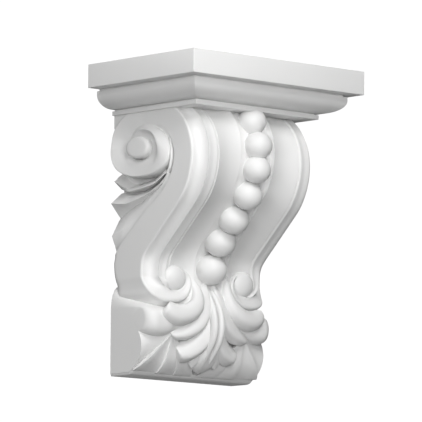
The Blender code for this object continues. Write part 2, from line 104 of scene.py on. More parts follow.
def through(points: Table | Array, count: int) -> Array:
    """Carry a Catmull-Rom curve through points.

    Args:
        points: The points in order.
        count: Number of points, at even steps of the parameter.
    Returns:
        The curve's points, one a row.
    """
    points = np.asarray(points, float)
    ends = np.vstack((2 * points[0] - points[1], points, 2 * points[-1] - points[-2]))
    place = np.linspace(0, len(points) - 1, count)
    span = np.minimum(place.astype(int), len(points) - 2)
    t = (place - span)[:, None]
    a, b, c, d = (ends[span + k] for k in range(4))
    return 0.5 * (2 * b + (c - a) * t + (2 * a - 5 * b + 4 * c - d) * t ** 2
                  + (3 * b - a - 3 * c + d) * t ** 3)


def follow(at: Array, table: Table | Array) -> list[Array]:
    """Read smooth curves through the columns of a table.

    Args:
        at: Where to read them.
        table: In each row a place, rising, and every curve's value there.
    Returns:
        Each curve's cubic Hermite values; a slope is the mean of its two steps, or level where
        they turn.
    """
    xs, *columns = np.asarray(table, float).T
    at = np.clip(at, xs[0], xs[-1])
    i = np.clip(np.searchsorted(xs, at, side="right") - 1, 0, len(xs) - 2)
    wide = xs[i + 1] - xs[i]
    t = (at - xs[i]) / wide
    curves = []
    for ys in columns:
        steps = np.diff(ys) / np.diff(xs)
        inner = np.where(steps[1:] * steps[:-1] > 0, (steps[1:] + steps[:-1]) / 2, 0.0)
        slopes = np.concatenate((steps[:1], inner, steps[-1:]))
        curves.append(ys[i] * (1 + 2 * t) * (1 - t) ** 2 + ys[i + 1] * t ** 2 * (3 - 2 * t)
                      + wide * (slopes[i] * t * (1 - t) ** 2 + slopes[i + 1] * t ** 2 * (t - 1)))
    return curves


def closing(start: float, knee: float, even: int, fine: int) -> Array:
    """Give shares that rise to 1, closer together at the end.

    Args:
        start: The first share.
        knee: Share at which even steps give way to a sine's.
        even: Number of shares up to the knee.
        fine: Number of shares from the knee on, the knee counted again.
    Returns:
        The shares, one a row.
    """
    last = knee + (1 - knee) * np.sin(np.linspace(0, math.pi / 2, fine))
    return np.concatenate((np.linspace(start, knee, even), last[1:]))[:, None]


def soften(points: Array, radius: float, steps: int = 4) -> Array:
    """Round the corners of an open line of points.

    Args:
        points: The line's corners, one a row.
        radius: How far each rounding reaches along both legs; short legs limit it.
        steps: Points in each rounding.
    Returns:
        The ends and, for each corner, a parabola (1-t)^2 a + 2 t (1-t) corner + t^2 b.
    """
    here, legs = points[1:-1], np.diff(points, axis=0)
    long = np.linalg.norm(legs, axis=1)
    reach = np.minimum(radius, 0.45 * long)
    a = here - legs[:-1] * (reach / long)[:-1, None]
    b = here + legs[1:] * (reach / long)[1:, None]
    t = np.linspace(0, 1, steps)[None, :, None]
    arcs = (1 - t) ** 2 * a[:, None] + 2 * t * (1 - t) * here[:, None] + t ** 2 * b[:, None]
    return np.vstack((points[:1], arcs.reshape(-1, points.shape[1]), points[-1:]))


def stack(*parts: Array) -> Array:
    """Stack coordinate arrays of one shape into points.

    Args:
        parts: The x, y and z arrays; they are broadcast together.
    Returns:
        One array with the coordinates on its last axis.
    """
    return np.stack(np.broadcast_arrays(*parts), axis=-1)


def mirrored(shell: Shell) -> list[Shell]:
    """Give a shell modelled at positive X on both flanks.

    Args:
        shell: The shell at positive X.
    Returns:
        One shell for each side.
    """
    return [Shell(f"{shell.name}_{side.name.lower()}", shell.grid * (side.value, 1.0, 1.0))
            for side in Side]


def plans(name: str, half: Array, front: Array, height: Array, corner: float, steps: int) -> Shell:
    """Stack plans that run from the wall round two rounded front corners.

    Args:
        name: The shell's name.
        half: Half width of each plan, one a row.
        front: Depth of its front.
        height: Its height.
        corner: Radius of the corners.
        steps: Points in a corner.
    Returns:
        The shell.
    """
    bend = np.linspace(0, math.pi / 2, steps)
    right_x = half - corner * (1 - np.cos(bend))
    right_y = front - corner * (1 - np.sin(bend))
    back = np.full_like(half, -2 * OVERLAP)
    xs = np.hstack((half, right_x, -right_x[:, ::-1], -half))
    depths = np.hstack((back, right_y, right_y[:, ::-1], back))
    return Shell(name, stack(xs, -depths, height))


def sphere(name: str, centre: Triple, radii: Triple, tilt: float, rows: int, columns: int) -> Shell:
    """Make an ellipsoid: centre + (a sin u cos v, b sin u sin v, c cos u), turned about X.

    Args:
        name: The shell's name.
        centre: Its centre.
        radii: Half sizes along X, along Y and along Z before the turn.
        tilt: Turn about X in radians.
        rows: Rings between the poles.
        columns: Points in a ring.
    Returns:
        The shell.
    """
    u = np.linspace(0.02, math.pi - 0.02, rows)[:, None]
    v = np.linspace(0, 2 * math.pi, columns, endpoint=False)
    x = radii[0] * np.sin(u) * np.cos(v)
    y = radii[1] * np.sin(u) * np.sin(v)
    z = radii[2] * np.cos(u)
    turned = stack(x, y * math.cos(tilt) - z * math.sin(tilt), y * math.sin(tilt) + z * math.cos(tilt))
    return Shell(name, turned + np.asarray(centre))


@dataclass(frozen=True)
class Blade:
    """A leaf lobe: a rounded box section carried along a line and closed at a round tip.

    Each row of the line holds offset, depth, height and half width, in millimetres.
    """

    name: str
    line: Table
    thick: float = 1.0
    tilt: float = 0.0
    box: float = 2.4
    tip: float = 0.15
    crease: float = 0.0
    crease_at: float = 0.3
    crease_width: float = 0.16
    least: float = 0.004
    facing: Triple = (0.0, -1.0, 0.0)
    rows: int = 44
    columns: int = 36

    def shell(self) -> Shell:
        """Carry the section along the line, which is the middle of the lobe's front.

        Across a ring the section is |cos a|^(2/n) wide and |sin a|^(2/n) deep, n the boxiness,
        with a narrow raised crease on its front.

        Returns:
            The lobe as a shell.
        """
        line = np.asarray(self.line, float)
        path = through(line[:, :3], self.rows) * (1.0, -1.0, 1.0)
        place = np.linspace(0, 1, self.rows)
        half, = follow(place, np.column_stack((np.linspace(0, 1, len(line)), line[:, 3])))
        end = np.clip((place - 1 + self.tip) / self.tip, 0, 1)
        half = half * np.sqrt(np.maximum(1 - end ** 2, self.least))
        along = np.gradient(path, axis=0)
        along /= np.linalg.norm(along, axis=1)[:, None]
        across = np.cross(along, self.facing)
        across /= np.linalg.norm(across, axis=1)[:, None]
        front = np.cross(across, along)
        turn = math.radians(self.tilt)
        across, front = (across * math.cos(turn) - front * math.sin(turn),
                         front * math.cos(turn) + across * math.sin(turn))
        angle = np.linspace(0, 2 * math.pi, self.columns, endpoint=False)
        c, s = np.cos(angle), np.sin(angle)
        power = 2.0 / self.box
        wide = np.sign(c) * np.abs(c) ** power
        deep = np.sign(s) * np.abs(s) ** power
        ridge = self.crease * np.exp(-((wide - self.crease_at) / self.crease_width) ** 2) * (s > 0)
        width = half[:, None]
        lift = width * self.thick * (deep - 1) + ridge * np.sin(math.pi * place)[:, None]
        grid = (path[:, None] + across[:, None] * (width * wide)[..., None]
                + front[:, None] * lift[..., None])
        return Shell(self.name, grid / 1000)


@dataclass(frozen=True)
class Cap:
    """Square fascia, ovolo and fillet on three sides."""

    width: float = 0.23
    depth: float = 0.158
    fascia: float = 0.0238
    ovolo_setback: float = 0.0118
    ovolo: float = 0.0204
    shoulder: float = 0.006
    fillet_setback: float = 0.0322
    fillet: float = 0.0045
    edge: float = 0.0006
    quirk: float = 0.0014
    quirk_depth: float = 0.0034
    slot: float = 0.0022
    draft: float = 0.0002
    lap: float = 0.01

    @property
    def soffit(self) -> float:
        """Work out where the cap's underside is.

        Returns:
            Its height above the foot.
        """
        return TOTAL_HEIGHT - self.fascia - self.ovolo - self.fillet

    def shells(self) -> list[Shell]:
        """Carry the moulding's profile round a rectangle with slightly rounded corners.

        Returns:
            The cap, its profile points as rows and its outline as rings.
        """
        turn = np.linspace(0, math.pi / 2, 14)
        foot = self.soffit + self.fillet
        reach = self.fillet_setback - self.ovolo_setback
        round_in = self.fillet_setback - reach * np.sin(turn)
        round_up = foot + self.quirk + (self.ovolo - self.shoulder - self.quirk) * (1 - np.cos(turn))
        under = TOTAL_HEIGHT - self.fascia
        deep = self.fillet_setback + self.quirk_depth
        low = np.array(((self.fillet_setback + self.lap, self.soffit), (self.fillet_setback, self.soffit),
                        (self.fillet_setback, foot), (deep, foot + self.draft), (deep, foot + self.quirk)))
        shadow = self.ovolo_setback + self.quirk_depth
        high = np.array(((self.ovolo_setback, under - self.slot), (shadow, under - self.slot),
                         (shadow, under), (0.0, under), (0.0, TOTAL_HEIGHT), (self.lap, TOTAL_HEIGHT)))
        quarter = np.stack((round_in, round_up), axis=1)
        profile = np.vstack((soften(np.vstack((low, quarter[2:3])), self.edge)[:-1], quarter[2:-1],
                             soften(np.vstack((quarter[-2:], high)), self.edge)[1:]))
        inset, height = profile[:, :1], profile[:, 1:]
        return [plans("cap", self.width / 2 - inset, self.depth - inset, height, self.edge, 5)]


@dataclass(frozen=True)
class SLine:
    """Depth of an S-shaped line: a bulge arc, a straight slope and a hollow arc."""

    bulge: float
    bulge_height: float
    hollow: float
    hollow_radius: float
    slope: float
    upper_radius: float = 0.056
    lower_radius: float = 0.066

    def depth(self, height: Array) -> Array:
        """Work out the line's depth.

        Args:
            height: Heights above the foot.
        Returns:
            The depths there.
        """
        sine, cosine = math.sin(self.slope), math.cos(self.slope)
        bends = self.lower_radius + self.hollow_radius
        straight = (self.bulge - self.hollow - bends * (1 - cosine)) / sine
        hollow_height = self.bulge_height - bends * sine - straight * cosine
        upper_end = self.bulge_height - self.lower_radius * sine
        lower_end = hollow_height + self.hollow_radius * sine
        radius = np.where(height > self.bulge_height, self.upper_radius, self.lower_radius)
        away = np.minimum(np.abs(height - self.bulge_height), 0.95 * radius)
        depth = self.bulge - radius + np.sqrt(radius ** 2 - away ** 2)
        start = self.bulge - self.lower_radius * (1 - cosine)
        depth = np.where(height < upper_end, start - (upper_end - height) * sine / cosine, depth)
        away = np.minimum(np.abs(height - hollow_height), 0.85 * self.hollow_radius)
        low = self.hollow + self.hollow_radius - np.sqrt(self.hollow_radius ** 2 - away ** 2)
        return np.where(height < lower_end, low, depth)


SIDE_LINE = SLine(0.1175, 0.214, 0.044, 0.03, math.radians(46.8))
MIDDLE_LINE = SLine(0.126, 0.221, 0.057, 0.04, math.radians(43.0))


@dataclass(frozen=True)
class Band:
    """The S-shaped band on each flank and the curl that it winds into at its foot.

    Its sections lie level down to the ball's height and then turn about the ball: a strip, a
    cove and an outer edge, and behind the edge the flat flank or the curl's underside.
    Tables, in millimetres: height and depth of the flank's back line, height and size of its
    turn at the wall, and the curl's turn in degrees, radii of strip, outer edge, edge round and
    skirt, and depths of strip and outer edge.
    """

    cap: Cap
    half_width: float = 0.08
    strip_outer: float = 0.0672
    strip_rise: float = 0.0115
    groove: float = 0.0545
    groove_half: float = 0.0012
    cove_sink: float = 0.0006
    strip_hollow: float = 0.001
    strip_soft: float = 0.0006
    edge_round: float = 0.0024
    inner_wall: float = 0.066
    core: float = 0.05
    fall_power: float = 1.6
    inward: float = 0.6
    eye: float = 0.0045
    ball_offset: float = 0.0455
    ball_height: float = 0.0971
    ball_depth: float = 0.0554
    ball_radii: Triple = (0.0142, 0.0078, 0.0128)
    ball_sink: float = 0.0022
    blend_top: float = 0.125
    blend: float = 0.028
    drift: float = 0.0035
    drift_top: float = 0.118
    drift_span: float = 0.021
    curl_sink: float = 0.0008
    curl_draw: float = 0.55
    curl_dip: float = 0.004
    flare: float = 0.014
    wall_fade: float = 0.006
    back_line: Table = (
        (114.7, -4), (125.6, 6.6), (133.4, 14.5), (142.6, 24.8), (153, 37.9), (160.9, 47.4),
        (172, 64), (181, 74.9), (191.8, 83.8), (201.2, 88.3), (215.4, 91), (228, 87.5),
        (237, 82), (241.8, 77.5), (245, 70), (247, 56), (248, -4))
    wall_line: Table = ((89, 11.5), (97, 7), (104, 4), (111.5, 3), (118, 5), (126, 6))
    curl_line: Table = (
        (180, 21.7, 34.5, 2.4, 34.5, 55.4, 43.8), (190, 20.2, 34.2, 2.5, 34.6, 56.2, 46),
        (199, 18.9, 34.2, 2.6, 35.8, 56.8, 49), (209, 17.6, 34.4, 2.8, 38.5, 57, 53),
        (229, 15.6, 31.1, 3.5, 40, 57, 57), (248, 14, 27.3, 4, 36.5, 57, 58.6),
        (261, 13.3, 25.3, 4, 33, 57, 59.2), (280, 13, 24.2, 4, 29.5, 57, 59.6),
        (300, 12.8, 23.4, 3.8, 27, 57, 59.8), (319, 12.7, 22, 3.2, 25, 57, 59.8),
        (348, 12.7, 19.4, 2, 23, 57, 59.4), (368, 12.4, 17.4, 1.6, 21, 57, 58.8),
        (385, 11.6, 15, 1.4, 18, 56.6, 58), (412, 9.2, 10.6, 1.2, 13, 55, 56))

    def section(self, inner: Array, strip: Array, edge: Array, bend: Array, lip: Array, side: Array,
                sink: Array) -> tuple[Array, Array]:
        """Lay out the front of the sections, from inside the body to the outer edge.

        Args:
            inner: Distance of the groove's middle from the centre line, one a row.
            strip: The strip's outer edge.
            edge: The outer edge.
            bend: Radius of its quarter round.
            lip: The strip's depth.
            side: The outer edge's depth.
            sink: Extra hollow of the cove.
        Returns:
            Distances and depths; the cove is a quarter ellipse, less 6.75 sink c (1-c)^2.
        """
        groove = np.array((-4.5, -0.4, 1.0, 1.6)) * self.groove_half + inner
        groove_y = lip - np.array((4.2, 1.4, 0.12, 0.0)) * 2 * self.groove_half
        flat = np.linspace(0, 1, 7)[1:]
        start = groove[:, -1:]
        flat_x = start + (strip - start) * flat
        flat_y = lip - self.strip_hollow * np.sin(math.pi * flat) - self.strip_soft * flat ** 8
        cove = 1 - np.cos(np.linspace(0, math.pi / 2, 25))[1:]
        cove_x = strip + (edge - bend - strip) * cove
        rise = lip - self.strip_soft - side
        cove_y = side + rise * (1 - np.sqrt(1 - (1 - cove) ** 2)) - sink * 6.75 * cove * (1 - cove) ** 2
        turn = np.linspace(0, math.pi / 2, 8)[1:]
        round_x = edge - bend * (1 - np.sin(turn))
        round_y = side - bend * (1 - np.cos(turn))
        return (np.hstack((groove, flat_x, cove_x, round_x)),
                np.hstack((groove_y, flat_y, cove_y, round_y)))

    def level(self) -> Array:
        """Skin the level sections from inside the cap down to the ball's height.

        Returns:
            Rows of points: strip, cove, outer edge, flat flank, its back edge and the core.
        """
        height = np.linspace(self.cap.soffit + OVERLAP, self.ball_height, 130)[:, None]
        near = ease((self.blend_top - height) / self.blend)
        *_, lip_end, side_end = self.curl_line[0]
        side = SIDE_LINE.depth(height)
        lip = side + self.strip_rise
        lip = lip + (lip_end / 1000 - lip) * near
        side = side + (side_end / 1000 - side) * near
        one = np.ones_like(height)
        drift = self.drift * ease((self.drift_top - height) / self.drift_span)
        front_x, front_y = self.section(self.groove + drift, self.strip_outer * one,
                                        self.half_width * one, self.edge_round * one, lip, side,
                                        self.cove_sink * one)
        back = np.where(height * 1000 > self.back_line[-1][0], -OVERLAP,
                        follow(height * 1000, self.back_line)[0] / 1000)
        flank_x, flank_y = self.flank(front_x[:, -1:], front_y[:, -1:], back, height)
        xs = np.hstack((front_x, flank_x, np.array((self.inner_wall, self.inner_wall, self.core)) * one))
        ys = np.hstack((front_y, flank_y, back, -2 * OVERLAP * one, -2 * OVERLAP * one))
        return stack(xs, -ys, height)

    def flank(self, edge: Array, start: Array, back: Array, height: Array) -> tuple[Array, Array]:
        """Run back from the outer edge and turn in to the wall.

        Args:
            edge: Distance of the outer edge, one a row.
            start: Depth where the flank starts.
            back: Depth where it ends.
            height: Where the turn at the wall is read.
        Returns:
            Distances and depths; near the wall a quarter circle of that size turns in.
        """
        fall = 1 - (1 - np.linspace(0, 1, 22)[1:]) ** self.fall_power
        depth = start + (back - start) * fall
        bend = follow(height * 1000, self.wall_line)[0] / 1000
        bend = bend * ease((self.wall_line[-1][0] / 1000 + self.wall_fade - height) / self.wall_fade)
        into = np.clip(1 - depth / np.maximum(bend, 1e-6), 0, 0.98)
        return edge - bend * (1 - np.sqrt(1 - into ** 2)), depth

    def curl(self) -> Array:
        """Skin the sections that turn about the ball.

        Returns:
            Rows of points; the flank becomes the curl's underside, which flares towards the block.
        """
        turn = np.linspace(180, 412, 118)[1:, None]
        strip, edge, bend, skirt, lip, side = (v / 1000 for v in follow(turn, self.curl_line))
        one = np.ones_like(turn)
        sink = self.cove_sink + self.curl_sink * ease((turn - 190) / 50)
        sink = sink * (1 - ease((turn - 345) / 60))
        inner = self.groove + self.drift - self.ball_offset
        inner = inner * (1 - self.curl_draw * ease((turn - 180) / 60))
        front_r, front_y = self.section(inner, strip, edge, bend, lip, side, sink)
        front_y = front_y - self.curl_dip * ease((turn - 200) / 60) * (front_r < strip - 0.001)
        height = self.ball_height + skirt * np.sin(np.radians(turn))
        flank_r, flank_y = self.flank(edge, front_y[:, -1:], -OVERLAP * one, height)
        flare = 1 - np.exp(-np.maximum(front_y[:, -1:] - flank_y, 0) / self.flare)
        flank_r = flank_r + (skirt - edge) * flare
        rs = np.hstack((front_r, flank_r, skirt * self.inward, skirt * self.inward, self.eye * one))
        ys = np.hstack((front_y, flank_y, np.array((-1, -2, -2)) * OVERLAP * one))
        angle = np.radians(turn)
        return stack(self.ball_offset - rs * np.cos(angle), -ys,
                     self.ball_height + rs * np.sin(angle))

    def shells(self) -> list[Shell]:
        """Join the level and the turned sections in one surface, and add the ball.

        Returns:
            Band and ball on both flanks.
        """
        grid = np.concatenate((self.level(), self.curl()), axis=0)
        ball = sphere("ball", (self.ball_offset, self.ball_sink - self.ball_depth, self.ball_height),
                      self.ball_radii, 0.0, 30, 44)
        return mirrored(Shell("band", grid)) + mirrored(ball)


@dataclass(frozen=True)
class Console:
    """The scrolled body between the bands: the bead channel and a flute on each side."""

    band: Band
    channel_half: float = 0.0224
    channel_sink: float = 0.0042
    channel_slope: float = 0.0016
    flute_sink: float = 0.003
    core_half: float = 0.06
    foot: float = 0.06
    channel_end: float = 0.093
    groove_step: float = 0.0009
    curl_start: float = 0.111
    curl_lead: float = 0.02
    curl_inner: float = 0.027
    curl_clearance: float = 0.01
    curl_backset: float = 0.009
    heel: float = 0.086
    heel_backset: float = 0.011
    heel_lead: float = 0.012
    channel_backset: float = 0.012
    levels: int = 170

    def shells(self) -> list[Shell]:
        """Skin the body's plan over heights from inside the block to inside the cap.

        Returns:
            The body: its plan runs out from the middle over the channel's floor and edge, the
            flute's parabola and the groove, then back along the hidden core.
        """
        groove, groove_half = self.band.groove, self.band.groove_half
        height = np.linspace(self.foot, self.band.cap.soffit + OVERLAP, self.levels)[:, None]
        middle = MIDDLE_LINE.depth(height)
        lip = SIDE_LINE.depth(height) + self.band.strip_rise
        out = np.linspace(0, 1, 26)
        flute_x = self.channel_half + (groove - groove_half - self.channel_half) * out
        flute = (middle + (lip - middle) * out - self.flute_sink * 4 * out * (1 - out)
                 - self.groove_step * out ** 6)
        floor = middle - self.channel_sink
        edge = np.array((0.0, 0.3, 0.7))
        edge_x = self.channel_half - self.channel_slope * (1 - edge)
        edge_y = floor + self.channel_sink * ease(edge)
        across = np.linspace(0, 1, 5)[:-1] * (self.channel_half - self.channel_slope)
        wall_x = np.array((groove + 0.4 * groove_half, self.core_half))
        wall_y = lip - np.array((1.4, 4.0)) * 2 * groove_half
        xs = np.hstack([part + 0 * height for part in (across, edge_x, flute_x, wall_x)])
        ys = np.hstack((floor + 0 * across, edge_y, flute, wall_y))
        outside = ease((xs - self.curl_inner) / self.curl_clearance)
        ys = ys - self.curl_backset * ease((self.curl_start - height) / self.curl_lead) * outside
        ys = ys - self.heel_backset * ease((self.heel - height) / self.heel_lead) * outside
        into_block = ease((self.channel_end - height) / (self.channel_end - self.foot))
        ys = ys - self.channel_backset * into_block * (1 - outside)
        xs = np.hstack((xs, xs[:, -1:]))
        ys = np.hstack((ys, np.full_like(height, -2 * OVERLAP)))
        ring_x = np.hstack((-xs[:, :0:-1], xs))
        ring_y = np.hstack((ys[:, :0:-1], ys))
        return [Shell("console", stack(ring_x, -ring_y, height))]


@dataclass(frozen=True)
class Beads:
    """Beads strung down the channel, touching, each with its height and radius."""

    beads: Table = ((0.1084, 0.0166), (0.136, 0.0164), (0.157, 0.016), (0.1789, 0.0152),
                    (0.2035, 0.0146), (0.2272, 0.0146), (0.2519, 0.0144))
    squash: float = 0.95
    step: float = 0.002

    def shells(self) -> list[Shell]:
        """Set an ellipsoid at each height on the channel's line, flattened along it.

        Returns:
            The beads.
        """
        made = []
        for index, (height, radius) in enumerate(self.beads):
            here, above, below = (float(MIDDLE_LINE.depth(np.array(height + step)))
                                  for step in (0.0, self.step, -self.step))
            tilt = math.atan2(above - below, 2 * self.step)
            made.append(sphere(f"bead_{index}", (0.0, -here, height),
                               (radius, radius, radius * self.squash), tilt, 26, 40))
        return made


@dataclass(frozen=True)
class Volute:
    """On each flank a coil that winds out from the band round a boss.

    Turn 0 is up, 90 towards the wall, 180 down. Radii are shares of the coil's radius and
    rises are millimetres outside the console's flank. A row of the coil's table holds turn,
    outer edge, rise at the rim, rise at the boss, depth and width of the gap round the boss, and
    how far the skirt spreads. One of the ridge's holds turn, radius, rise and width, and the
    ridge is wound past a full turn, so that its end runs out beside the boss.
    """

    half_width: float = 0.08
    depth: float = 0.044
    height: float = 0.225
    stretch: float = 1.47
    radius: float = 0.03
    root: float = -24.0
    boss: float = 0.362
    boss_rise: float = 9.2
    core: float = 0.34
    edge_drop: float = 1.1
    floor: float = -1.3
    cove_power: float = 2.6
    knee: float = 0.93
    boss_round: float = 0.26
    boss_drop: float = 2.8
    boss_lean: float = 0.7
    lean_turn: float = 110.0
    coil_line: Table = (
        (0, 1.36, -0.35, 0.45, 1, 0.13, 0), (12, 1.36, 0.6, 0.45, 0.6, 0.1, 0),
        (25, 1.33, 1.4, 0.5, 1.2, 0.1, 0), (45, 1.22, 2.8, 0.6, 3, 0.13, 0),
        (60, 1.1, 4.2, 0.8, 4.5, 0.16, 0), (75, 0.95, 7.3, 1.2, 5.5, 0.17, 0),
        (90, 0.89, 9.4, 1.8, 6, 0.17, 0), (112, 0.92, 9.3, 2.4, 6, 0.16, 0),
        (135, 0.98, 7.6, 3, 6, 0.14, 0), (155, 0.98, 6.4, 3.6, 6, 0.12, 0),
        (180, 0.97, 5.4, 4.2, 5.5, 0.1, 0), (210, 1.02, 4.4, 4, 4, 0.1, 0),
        (225, 1.03, 3.4, 3.4, 2.4, 0.11, 0), (250, 0.98, 2, 2.6, 1.2, 0.13, 0.04),
        (270, 0.9, 1.2, 2.2, 0.8, 0.13, 0.09), (290, 0.84, 0.8, 1.8, 0.8, 0.13, 0.12),
        (309, 0.8, 0.5, 1.3, 0.9, 0.13, 0.14), (325, 0.78, 0.1, 0.9, 1, 0.13, 0.14),
        (340, 0.96, -0.3, 0.6, 1, 0.13, 0.05), (360, 1.36, -0.35, 0.45, 1, 0.13, 0))
    ridge_line: Table = (
        (160, 0.74, 0, 0.24), (195, 0.76, 0.4, 0.26), (217, 0.76, 1.4, 0.27), (236, 0.73, 3, 0.28),
        (253, 0.69, 4.8, 0.27), (272, 0.665, 6.6, 0.23), (292, 0.645, 7.2, 0.2), (318, 0.63, 6.4, 0.17),
        (340, 0.61, 5, 0.16), (360, 0.6, 3.4, 0.16), (380, 0.55, 1.8, 0.13), (402, 0.48, 0, 0.1))

    def place(self, reach: Array, turn: Array, rise: Array) -> Array:
        """Turn polar coordinates on the flank into points.

        Args:
            reach: Share of the coil's radius, measured upwards from the boss's middle.
            turn: Degrees.
            rise: Millimetres outside the console's flank.
        Returns:
            Points at positive X.
        """
        angle = np.radians(turn)
        return stack(self.half_width + rise / 1000,
                     -self.depth + self.stretch * self.radius * reach * np.sin(angle),
                     self.height + self.radius * reach * np.cos(angle))

    def relief(self, reach: Array, turn: Array) -> Array:
        """Work out how far the coil stands outside the flank.

        Args:
            reach: Share of the coil's radius.
            turn: Degrees from 0 to 360.
        Returns:
            A slope from beside the boss to the rim, less a bell-shaped gap round the boss, plus
            the ridge: t to a power up to its crest and a quarter cosine beyond it.
        """
        outer, rim, inner, gap, width, _ = follow(turn, self.coil_line)
        share = (reach - self.core) / (outer - self.core)
        rise = inner + (rim - inner) * share - gap * np.exp(-((reach - self.core) / width) ** 2)
        for wound in (turn, turn + 360):
            crest, height, span = follow(wound, self.ridge_line)
            up = np.clip((reach - self.core) / (crest - self.core), 0, 1) ** self.cove_power
            down = np.cos(np.clip((reach - crest) / span, 0, 1) * math.pi / 2)
            rise = rise + height * up * down
        return rise - self.edge_drop * np.clip((share - self.knee) / (1 - self.knee), 0, 1) ** 3

    def shells(self) -> list[Shell]:
        """Lay the coil out in rings about the boss, and set the boss in its middle.

        Returns:
            Coil and boss on both flanks.
        """
        turn = np.linspace(0, 360, 150, endpoint=False)
        outer, *_, spread = follow(turn, self.coil_line)
        reach = self.core + (outer - self.core) * closing(0, self.knee, 46, 7)
        rise = self.relief(reach, turn)
        skirt = reach[-1:] + spread
        low = np.minimum(rise[-1:], self.floor)
        coil = self.place(np.vstack((reach, reach[-1:] + 0.002, skirt, skirt)), turn,
                          np.vstack((rise, low, low - 0.3, np.full_like(turn, self.root))))
        bend = np.linspace(0, math.pi / 2, 8)
        share = np.concatenate(((1.0, 1.0), 1 - self.boss_round * (1 - np.cos(bend)), (0.5, 0.3)))[:, None]
        level = np.concatenate((
            (self.root + 8, -1.0), self.boss_rise - self.boss_drop * (1 - np.sin(bend)),
            (self.boss_rise + 0.2, self.boss_rise + 0.2)))[:, None]
        turn = np.linspace(0, 360, 60, endpoint=False)
        lean = self.boss_lean * np.cos(np.radians(turn - self.lean_turn)) * (level > 4.0) * share
        boss = self.place(self.boss * share, turn, level + lean)
        return mirrored(Shell("coil", coil)) + mirrored(Shell("boss", boss))


@dataclass(frozen=True)
class SideLeaves:
    """Leaf behind the band: three blades that sweep from the coil and the band to the wall.

    Each rib is a line of points from its inner end to the wall: depth, height and offset from
    the middle, in millimetres. Ribs alternate between the blades' crests and the folds.
    """

    root: float = 0.045
    ribs: tuple[Table, ...] = (
        ((53.2, 204.9, 58), (39.8, 200.5, 56), (24.7, 198, 54),
         (9.5, 199, 54), (2, 203.6, 64), (-5, 206, 75)),
        ((75.7, 200.8, 77.4), (62.7, 194.4, 75.6), (50.2, 190.6, 75),
         (24.6, 187.6, 75), (9.9, 191, 76.4), (-5, 199, 78.6)),
        ((77.1, 198.9, 79.2), (66.5, 193, 78.6), (54.9, 189.2, 78.4),
         (28, 186.2, 78.6), (14, 188.4, 78.8), (-5, 198, 79.4)),
        ((77, 196.6, 79.2), (68.4, 191.4, 79.8), (57.7, 187, 80.2),
         (29.2, 183.6, 80), (14, 185, 77), (-5, 190, 67)),
        ((66.1, 196, 70), (53.5, 189.2, 68), (39.2, 185.1, 66),
         (26.4, 183.4, 64), (12, 183.6, 62), (-5, 187.6, 61)),
        ((69, 188.2, 77), (57.2, 184.1, 76.6), (47.7, 180.7, 76.2),
         (23.9, 178.8, 75.4), (11.9, 181.2, 73), (-5, 185.4, 67.6)),
        ((70.5, 187.2, 78.8), (60.1, 182.6, 79.4), (50.4, 177.9, 80.1),
         (25.2, 171.8, 81.7), (11.4, 171.7, 82.6), (-5, 173.4, 83.4)),
        ((77.6, 197.1, 77.8), (69.7, 188.4, 76.6), (58.2, 181.5, 75.6),
         (29, 169.7, 73.4), (13.7, 164.4, 72), (-5, 156.6, 69.6)),
        ((80, 197, 79.3), (72.9, 187.5, 78.6), (62.1, 180, 77.6),
         (32.6, 167.9, 75.2), (16.6, 162.2, 74), (-5, 154.2, 71.8)),
        ((82.6, 196.5, 79), (76.2, 187.2, 78), (67.1, 179, 77.2),
         (34.9, 157.8, 77.4), (16.8, 147.2, 79.4), (-5, 138, 82.4)),
        ((84, 196, 77), (77, 185, 76.4), (58, 169, 76.4),
         (24, 143, 77.2), (9, 130, 77), (-5, 122, 74)),
        ((80, 188, 70), (70, 176, 70), (50, 160, 70),
         (20, 136, 70), (6, 124, 70), (-5, 117, 68)))
    rib: Blade = Blade("coil_rib", (
        (77, 78, 240, 0.4), (80, 83, 232.5, 1.1), (80.6, 85.5, 224.5, 1.3), (80.8, 86.4, 218, 1.4),
        (80.8, 85.8, 210, 1.5), (80.4, 83, 202.5, 1.7), (79.8, 78.5, 196.5, 1.7)),
        3.6, 0, 2.2, 0.05, facing=(1, 0, 0), rows=40, columns=16)

    def shells(self) -> list[Shell]:
        """Carry a curve along each rib and skin the ribs.

        Returns:
            The leaf and the thin rib beside the coil on both flanks.
        """
        lines = np.stack([through(rib, 44) for rib in self.ribs]) / 1000
        outer = stack(lines[..., 2], -lines[..., 0], lines[..., 1])
        inner = stack(self.root, outer[:, ::-1, 1], outer[:, ::-1, 2])
        leaf = Shell("side_leaf", np.concatenate((outer, inner), axis=1))
        return mirrored(leaf) + mirrored(self.rib.shell())


class Fan(NamedTuple):
    """A low leaf between two rays, in millimetres.

    Each ray ends at an offset, a depth and a height. The leaf bulges across, its belly swells
    along it, its first edge stands proud and its second one drops.
    """

    first: Triple
    second: Triple
    bulge: float
    edge: float
    belly: float
    drop: float


